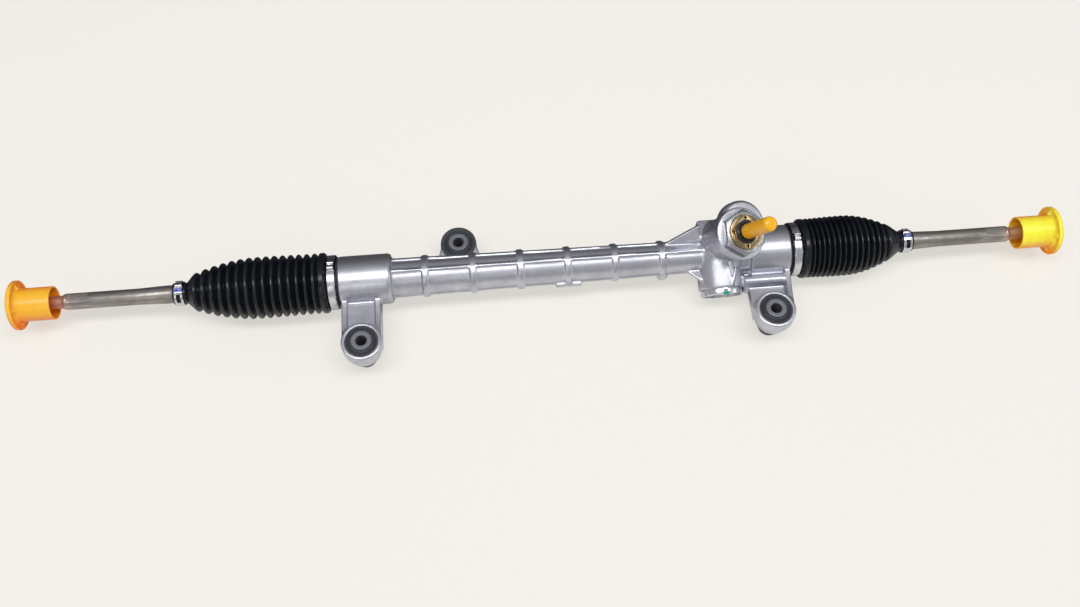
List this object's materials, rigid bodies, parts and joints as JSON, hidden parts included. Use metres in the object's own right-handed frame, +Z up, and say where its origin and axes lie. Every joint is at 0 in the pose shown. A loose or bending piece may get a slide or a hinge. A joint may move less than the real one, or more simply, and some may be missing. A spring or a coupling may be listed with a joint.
{
  "type": "rack and pinion steering gear",
  "caption": "Manual rack and pinion steering gear with a ribbed die-cast housing, bellows, tie rods under transit caps and rubber-bushed mounting lugs.",
  "frame": {"origin": "on the floor under the middle of the box round the whole part, which stands on its three bushing sleeves", "axes": "+X along the rack towards the pinion end, +Y away from the two lower lugs' side, +Z up along the mounting bolts"},
  "size_m": [1.235, 0.1735, 0.1633],
  "materials": {
    "cast_aluminium": "satin die casting with a fine grain",
    "forged_steel": "grey-brown phosphated forging",
    "machined_steel": "ground and oiled",
    "bearing_steel": "polished",
    "zinc_plate": "bright zinc plating",
    "yellow_zinc": "yellow passivated zinc",
    "sleeve_steel": "dull grey steel",
    "bushing_rubber": "matt moulded rubber",
    "boot_rubber": "satin bellows with a cool sheen",
    "seal_rubber": "oiled lip seal",
    "bearing_plastic": "natural bearing plastic",
    "guide_alloy": "sintered and turned",
    "left_cap_plastic": "soft orange polyethylene",
    "right_cap_plastic": "soft yellow polyethylene",
    "vinyl": "dipped amber vinyl"
  },
  "bodies": {
    "housing": {"rack_housing": "cast_aluminium", "rack_bushing": "bearing_plastic", "lower_left_bushing_rubber": "bushing_rubber", "lower_left_bushing_sleeve": "sleeve_steel", "lower_right_bushing_rubber": "bushing_rubber", "lower_right_bushing_sleeve": "sleeve_steel", "upper_bushing_rubber": "bushing_rubber", "upper_bushing_sleeve": "sleeve_steel", "pinion_bearing_outer_ring": "bearing_steel", "pinion_lower_bearing": "bearing_steel", "pinion_adjusting_screw": "yellow_zinc", "pinion_lock_nut": "zinc_plate", "pinion_seal": "seal_rubber", "rack_guide": "guide_alloy", "rack_guide_liner": "bearing_plastic", "rack_guide_spring": "machined_steel", "rack_guide_plug": "zinc_plate", "rack_guide_lock_nut": "zinc_plate", "left_boot": "boot_rubber", "right_boot": "boot_rubber", "left_boot_large_clamp": "zinc_plate", "right_boot_large_clamp": "zinc_plate"},
    "rack": {"rack_bar": "machined_steel", "left_lock_washer": "machined_steel", "right_lock_washer": "machined_steel", "left_joint_socket": "machined_steel", "right_joint_socket": "machined_steel"},
    "pinion": {"pinion_shaft": "machined_steel", "pinion_bearing_inner_ring": "bearing_steel", "input_shaft_cap": "vinyl"},
    "bearing_cage": {"pinion_bearing_balls": "bearing_steel", "pinion_bearing_cage": "bearing_steel"},
    "left_seat": {"left_ball_seat": "bearing_plastic"},
    "left_rod": {"left_tie_rod": "forged_steel", "left_boot_small_clamp": "zinc_plate", "left_thread_cap": "left_cap_plastic"},
    "right_seat": {"right_ball_seat": "bearing_plastic"},
    "right_rod": {"right_tie_rod": "forged_steel", "right_boot_small_clamp": "zinc_plate", "right_thread_cap": "right_cap_plastic"}
  },
  "joints": [
    {"name": "rack_slide", "type": "slide", "parent": "housing", "child": "rack", "axis": [1, 0, 0], "range_m": [-0.0467, 0.0923], "deforming": ["left_boot", "right_boot"]},
    {"name": "pinion_spin", "type": "hinge", "parent": "housing", "child": "pinion", "pos_m": [0.205, 0.03299, 0.04747], "axis": [0.2756, -0.3445, 0.8974], "range_deg": [-382, 753]},
    {"name": "bearing_balls_orbit", "type": "hinge", "parent": "housing", "child": "bearing_cage", "pos_m": [0.205, 0.03299, 0.04747], "axis": [0.2756, -0.3445, 0.8974], "range_deg": [-146, 288]},
    {"name": "left_seat_roll", "type": "hinge", "parent": "rack", "child": "left_seat", "pos_m": [-0.312, 0.01875, 0.042], "axis": [1, 0, 0], "continuous": true},
    {"name": "left_rod_swing", "type": "hinge", "parent": "left_seat", "child": "left_rod", "pos_m": [-0.312, 0.01875, 0.042], "axis": [0, 0, 1], "range_deg": [-16, 16]},
    {"name": "right_seat_roll", "type": "hinge", "parent": "rack", "child": "right_seat", "pos_m": [0.312, 0.01875, 0.042], "axis": [1, 0, 0], "continuous": true},
    {"name": "right_rod_swing", "type": "hinge", "parent": "right_seat", "child": "right_rod", "pos_m": [0.312, 0.01875, 0.042], "axis": [0, 0, 1], "range_deg": [-16, 16]}
  ],
  "couplings": [
    {"joint": "pinion_spin", "follows": "rack_slide", "rad_per_m": 142.07},
    {"joint": "bearing_balls_orbit", "follows": "rack_slide", "rad_per_m": 54.098}
  ]
}
